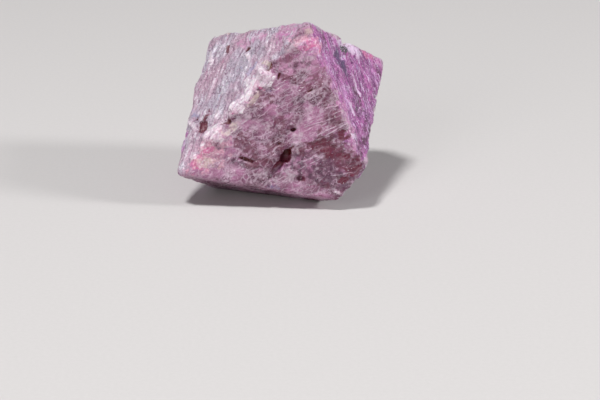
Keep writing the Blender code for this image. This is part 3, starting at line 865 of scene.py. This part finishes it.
webs = add("Math MULTIPLY", webs, add("MapRange", dark_here, 0.2, 0.8, 1.0, 0.35))
from_rim = add("Math ABSOLUTE", add("Math SUBTRACT", skin["windows"], 0.35))
rims = add("Math MULTIPLY", add("MapRange", from_rim, 0.04, 0.18, 0.55, 0.0), patches(1.2, 0.40, 0.56))
fan_places = stretched(wavered(2.0, 0.3), "front", FAN_TURN, FAN_LENGTH, FAN_SPACING)
fan = threads(add("TexNoise", fan_places, 1.0), 0.03, 1.0)
fan = add("Math MULTIPLY", fan, patches(3.0, 0.42, 0.56, 0.1, 0.7))
for net in (webs, rims, fan):
    vein = add("Math MAXIMUM", vein, net)
print("nets of cracks drawn")

# %% [markdown]
# The boldest healed cracks are drawn one by one, each as a line between two places on the front face that
# wavers a little and thins out towards its ends.

# %% Bold cracks
BOLD = (  # the two ends, across and up (mm), and half the width (mm)
    ((3.4, -1.2), (8.8, 3.2), 0.09), ((3.2, -0.3), (8.2, 3.1), 0.06), ((0.8, -5.2), (6.6, -1.7), 0.09),
    ((1.6, -5.9), (5.6, -2.9), 0.06), ((3.5, 2.4), (7.4, 4.8), 0.07), ((4.2, 4.4), (8.4, 6.2), 0.07),
    ((1.6, 1.0), (7.6, 4.1), 0.06), ((-2.9, -2.6), (-0.3, -0.6), 0.08), ((1.2, 5.1), (4.8, 7.4), 0.09),
    ((-9.8, -2.6), (-6.4, 1.2), 0.10), ((7.0, -5.6), (11.0, -4.4), 0.06), ((-5.0, 2.8), (-3.0, 5.2), 0.07),
)
SOLID, FADED = 0.5, 1.6  # in halves of the width, from the middle of a crack outwards
STRONG, GONE = 0.3, 0.55  # in lengths, from the middle of a crack towards its ends

bent = wavered(1.5, 0.16)
bold = 0.0
for start, end, width in BOLD:
    run = Vector(end) - Vector(start)
    along_run = Matrix.Rotation(-math.atan2(run.y, run.x), 3, "Z")
    turn = along_run @ face_axes("front")
    middle = turn @ CENTRE + along_run @ ((Vector(start) + Vector(end)) / 2).to_3d()
    parts = add("SeparateXYZ", add("Mapping", bent, -middle, turn.to_euler())).node
    beside = add("Math ABSOLUTE", parts.outputs["Y"])
    along = add("Math ABSOLUTE", parts.outputs["X"])
    stroke = add("MapRange", beside, width * SOLID, width * FADED, 1.0, 0.0)
    fading = add("MapRange", along, run.length * STRONG, run.length * GONE, 1.0, 0.0)
    bold = add("Math MAXIMUM", bold, add("Math MULTIPLY", stroke, fading))
bold = add("Math MULTIPLY", bold, patches(1.0, 0.36, 0.54, 0.2, 1.0))
vein = add("Math MAXIMUM", vein, bold)
print(len(BOLD), "bold cracks")

# %% [markdown]
# **Block faces.** Each cell has its own depth of colour, clouds of wine and rose lie across many cells, and
# a sugary crust breaks them up. The veins go on top.

# %% Colour of the block faces
block = add("Mix", patches(4.0, 0.40, 0.58), linear("#673250"), linear("#a86d92"))
block = add("Mix", add("MapRange", skin["tone"], 0.42, 0.75, 0.0, 0.80), block, linear("#572840"))
block = add("Mix", patches(0.9, 0.42, 0.72, 0.0, 0.55, 3.0), block, linear("#aa7d95"))
sugar = add("Math MULTIPLY", patches(3.4, 0.50, 0.64), patches(0.26, 0.44, 0.62, 0.0, 0.6, 3.0))
block = add("Mix", sugar, block, linear("#c09db6"))
block = add("Mix", add("Math MULTIPLY", vein, 0.78), block, linear("#dcc3d5"))
print("block faces coloured")

# %% [markdown]
# ** Lath faces.** The laths are a chalky grey-lavender. Their crests are painted lighter, a painted highlight,
# and the troughs between them darker, painted shade. The crest value that the relief left on the skin marks
# both, so colour and form agree, and stretched noise adds finer pale and dark streaks.

# %% Colour of the lath faces
STREAK_SIZE, BROAD_STREAK_SIZE = (2.4, 0.52), (6.0, 1.5)  # mm, length and width

streak = add("TexNoise", stretched(wavered(1.4, 0.50), "left", LATH_RUN, *STREAK_SIZE), 1.0)
broad_streak = add("TexNoise", stretched(wavered(3.0, 0.9), "left", LATH_RUN, *BROAD_STREAK_SIZE), 1.0)
# Painted highlight on the crests and painted shade in the troughs, from the relief's crest value.
crest_highlight = add("MapRange", skin["crest"], 0.54, 0.80)
pale_streaks_and_highlight = add("MapRange", streak, 0.57, 0.64, 0.0, 0.85)
pale_streaks_and_highlight = add("Math MAXIMUM", add("Math MULTIPLY", crest_highlight, 0.55), pale_streaks_and_highlight)
pale_streaks_and_highlight = add("Math MULTIPLY", pale_streaks_and_highlight, patches(2.6, 0.42, 0.62, 0.15, 1.0))
trough_shade_and_dark_streaks = add("MapRange", skin["crest"], 0.42, 0.15, 0.0, 0.7)
trough_shade_and_dark_streaks = add("Math MAXIMUM", trough_shade_and_dark_streaks, add("MapRange", streak, 0.43, 0.36, 0.0, 0.6))

lath = add("Mix", patches(5.5, 0.40, 0.60), linear("#bb9aae"), linear("#b4a7b8"))
lath = add("Mix", add("MapRange", broad_streak, 0.50, 0.68, 0.0, 0.6), lath, linear("#be90ab"))
lath = add("Mix", pale_streaks_and_highlight, lath, linear("#eae4ee"))
lath = add("Mix", trough_shade_and_dark_streaks, lath, linear("#7f6379"))
print("lath faces coloured")

# %% [markdown]
# ** Fibre faces.** Here the colour is strongest: magenta and violet fibres with pale lilac ones between. The
# crests of the relief are painted lighter, a painted highlight, and its troughs darker, painted shade.

# %% Colour of the fibre faces
STRAND_SIZE, BRAID_SIZE = (1.9, 0.38), (5.0, 1.2)  # mm, length and width

strand = add("TexNoise", stretched(wavered(1.2, 0.50), "right", FIBRE_RUN, *STRAND_SIZE), 1.0, 3.0)
braid = add("TexNoise", stretched(wavered(2.6, 0.8), "right", FIBRE_RUN, *BRAID_SIZE), 1.0)
# Pale fibres, with a painted highlight on the crests of the relief.
light = add("MapRange", strand, 0.53, 0.66, 0.0, 0.75)
light = add("Math MAXIMUM", add("Math MULTIPLY", crest_highlight, 0.5), light)
# Dark fibres, with painted shade in the troughs of the relief.
dark_fibres_and_shade = add("MapRange", skin["crest"], 0.40, 0.12, 0.0, 0.6)
dark_fibres_and_shade = add("Math MAXIMUM", dark_fibres_and_shade, add("MapRange", strand, 0.46, 0.36, 0.0, 0.62))

fibre = add("Mix", add("MapRange", braid, 0.40, 0.60), linear("#8b4783"), linear("#b55fa5"))
fibre = add("Mix", patches(3.5, 0.5, 0.66, 0.0, 0.6), fibre, linear("#b97cb6"))
fibre = add("Mix", light, fibre, linear("#e2c8eb"))
fibre = add("Mix", dark_fibres_and_shade, fibre, linear("#5a2e62"))
print("fibre faces coloured")

# %% [markdown]
# The three colours are joined by the face that each point belongs to. Fine noise makes the seam ragged, so
# that a soft mask ends in a crisp, natural edge. A sparkle of light and dark grains goes over the rough
# faces.

# %% Join the faces
SEAM_BAYS, SEAM_DEPTH = 0.55, 1.3  # mm, and how much of a mask's slope they take up
SPARKLE_GRAIN = 0.22  # mm, coarser than the real grain

edge_noise = add("TexNoise", place, 1 / SEAM_BAYS, 4.0)
edge_noise = add("Math MULTIPLY", add("Math SUBTRACT", edge_noise, 0.5), SEAM_DEPTH)
sparkle = add("TexNoise", place, 1 / SPARKLE_GRAIN)

colour = add("Mix", add("MapRange", add("Math ADD", skin["laths"], edge_noise), 0.3, 0.7), block, lath)
colour = add("Mix", add("MapRange", add("Math ADD", skin["fibres"], edge_noise), 0.3, 0.7), colour, fibre)
rough_face = add("Math ADD", skin["laths"], skin["fibres"])
sparkling = add("MapRange", rough_face, 0.2, 0.8, 0.25, 1.0)
light_grain = add("Math MULTIPLY", sparkling, add("MapRange", sparkle, 0.54, 0.72, 0.0, 0.50))
colour = add("Mix", light_grain, colour, linear("#f0e6ef"))
dark_grain = add("Math MULTIPLY", sparkling, add("MapRange", sparkle, 0.46, 0.30, 0.0, 0.55))
colour = add("Mix", dark_grain, colour, linear("#4a2a3e"))
print("faces joined")

# %% [markdown]
# Then the placed colours go on, one layer over the other. Each has a pattern that breaks it up, so that the
# colours below show through: mottling on the block faces, streaks where the face itself is streaked.

# %% Lay the placed colours on
RIM_RIDGE_SIZE, RIM_RUN = (3.4, 0.42), -58  # mm, degrees: the ridges on the knobs run along the left edge

mottle = patches(0.8, 0.40, 0.60, 0.20, 1.0, 3.0)
milky = patches(1.1, 0.36, 0.60, 0.45, 1.0, 3.0)
clear = add("MapRange", frayed, 0.06, 0.35, 0.55, 1.0)
streaky = add("MapRange", add("Math MAXIMUM", streak, strand), 0.42, 0.56, 0.15, 1.0)
stringy = add("MapRange", strand, 0.40, 0.56, 0.45, 1.0)
along_rim = add("TexNoise", stretched(wavered(1.4, 0.30), "left", RIM_RUN, *RIM_RIDGE_SIZE), 1.0)
ridged = add("MapRange", along_rim, 0.46, 0.60)
specked = add("MapRange", sparkle, 0.60, 0.52, 0.35, 1.0)
LAYERS = (  # mask, colour, strength, and what breaks it up
    # the next row is rose pink and partly painted light
    ("rosy_and_lit", "#c890b3", 0.75, mottle),
    # the next row is painted shade
    ("painted_shade", "#522a44", 0.85, mottle),
    ("blue", "#8f8cb4", 0.50, mottle),
    ("smoky", "#6c3047", 0.78, mottle),
    ("windows", "#651c36", 0.94, clear),
    ("pale", "#cfb9c7", 0.62, mottle),
    ("magenta", "#c27cb0", 0.72, mottle),
    ("grey", "#443a5c", 0.85, stringy),
    ("salmon", "#dba0b6", 0.82, milky),
    ("hot", "#d3629a", 0.75, milky),
    ("knobs", "#e0c8d8", 0.78, milky),
    ("knobs", "#f6eef4", 0.85, ridged),
    # the next row is pale lilac and partly a painted sheen
    ("lilac_and_sheen", "#ead5ee", 0.75, streaky),
    ("cream", "#d9c6bb", 0.62, mottle),
    ("grain", "#2f3733", 0.95, specked),
    # the next row is painted shade in the hollows
    ("shaded_recess", "#6b1b33", 0.92, 1.0),
    ("deep", "#5c1412", 0.90, 1.0),
)
for name, hex_colour, strength, pattern in LAYERS:
    share = add("MapRange", add("Math ADD", skin[name], edge_noise), 0.30, 0.80, 0.0, strength)
    colour = add("Mix", add("Math MULTIPLY", share, pattern), colour, linear(hex_colour))
print(len(LAYERS), "placed colours")

# %% [markdown]
# A trace of the veins shows through the placed colours too. Sugary grain breaks up the pinks and the knobs,
# and here and there a painted glint, an almost white speck in the colour, stands for light caught by a tiny
# flat of the crystal.

# %% Grain and painted glints
SUGAR_GRAIN, PAINTED_GLINT = 0.32, 0.24  # mm

not_deep = add("Math SUBTRACT", 1.0, skin["deep"])
vein_over = add("Math MULTIPLY", add("MapRange", rough_face, 0.3, 0.7, 0.18, 0.0), not_deep)
colour = add("Mix", add("Math MULTIPLY", vein, vein_over), colour, linear("#dfcbda"))
sugary = skin["knobs"]
for name in ("salmon", "hot", "magenta"):
    sugary = add("Math MAXIMUM", sugary, skin[name])
sugary = add("MapRange", sugary, 0.2, 0.8)
sugar = add("TexNoise", place, 1 / SUGAR_GRAIN, 3.0)
light_grain = add("Math MULTIPLY", add("MapRange", sugar, 0.52, 0.66, 0.0, 0.45), sugary)
colour = add("Mix", light_grain, colour, linear("#f0e3ed"))
dark_grain = add("Math MULTIPLY", add("MapRange", sugar, 0.47, 0.34, 0.0, 0.26), sugary)
colour = add("Mix", dark_grain, colour, linear("#5b3048"))
# Painted glints: almost white specks that stand in for light caught by tiny flats.
colour = add("Mix", patches(PAINTED_GLINT, 0.72, 0.76, 0.0, 0.7, 1.0), colour, linear("#f6eef6"))
print("grain laid")

# %% [markdown]
# A fine bump from the same patterns breaks up the reflections, as the tiny steps of a cleaved surface do.
# Windows are a little glossier than the rest.

# %% Gloss and bump
SPINEL_IOR = 1.72
SUBSURFACE_REACH = 0.5  # mm, for red light, less for green and blue
BUMP_HEIGHT = 0.14  # mm

height = add("Math MULTIPLY_ADD", vein, 0.6, add("Math MULTIPLY", sparkle, 0.7))
height = add("Math MULTIPLY_ADD", add("Math ADD", streak, strand), 0.5, height)
bump = add("Bump", named={"Height": height, "Strength": 0.6, "Distance": BUMP_HEIGHT * MM})
gloss = patches(0.7, 0.3, 0.7, 0.26, 0.46)
gloss = add("Math SUBTRACT", gloss, add("Math MULTIPLY", skin["windows"], 0.10))
cloudy_spinel = add("BsdfPrincipled", subsurface_method="RANDOM_WALK", named={
    "Base Color": colour,
    "Roughness": gloss,
    "IOR": SPINEL_IOR,
    "Specular IOR Level": 0.3,
    "Normal": bump,
    "Subsurface Weight": 0.15,
    "Subsurface Radius": (1.0, 0.45, 0.7),
    "Subsurface Scale": SUBSURFACE_REACH * MM,
})
add("OutputMaterial", cloudy_spinel)
mesh.materials.clear()
mesh.materials.append(spinel)
print(len(tree.nodes), "nodes in the finish")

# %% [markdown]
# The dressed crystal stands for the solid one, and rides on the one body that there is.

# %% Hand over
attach(crystal, "root")
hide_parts(NODE)
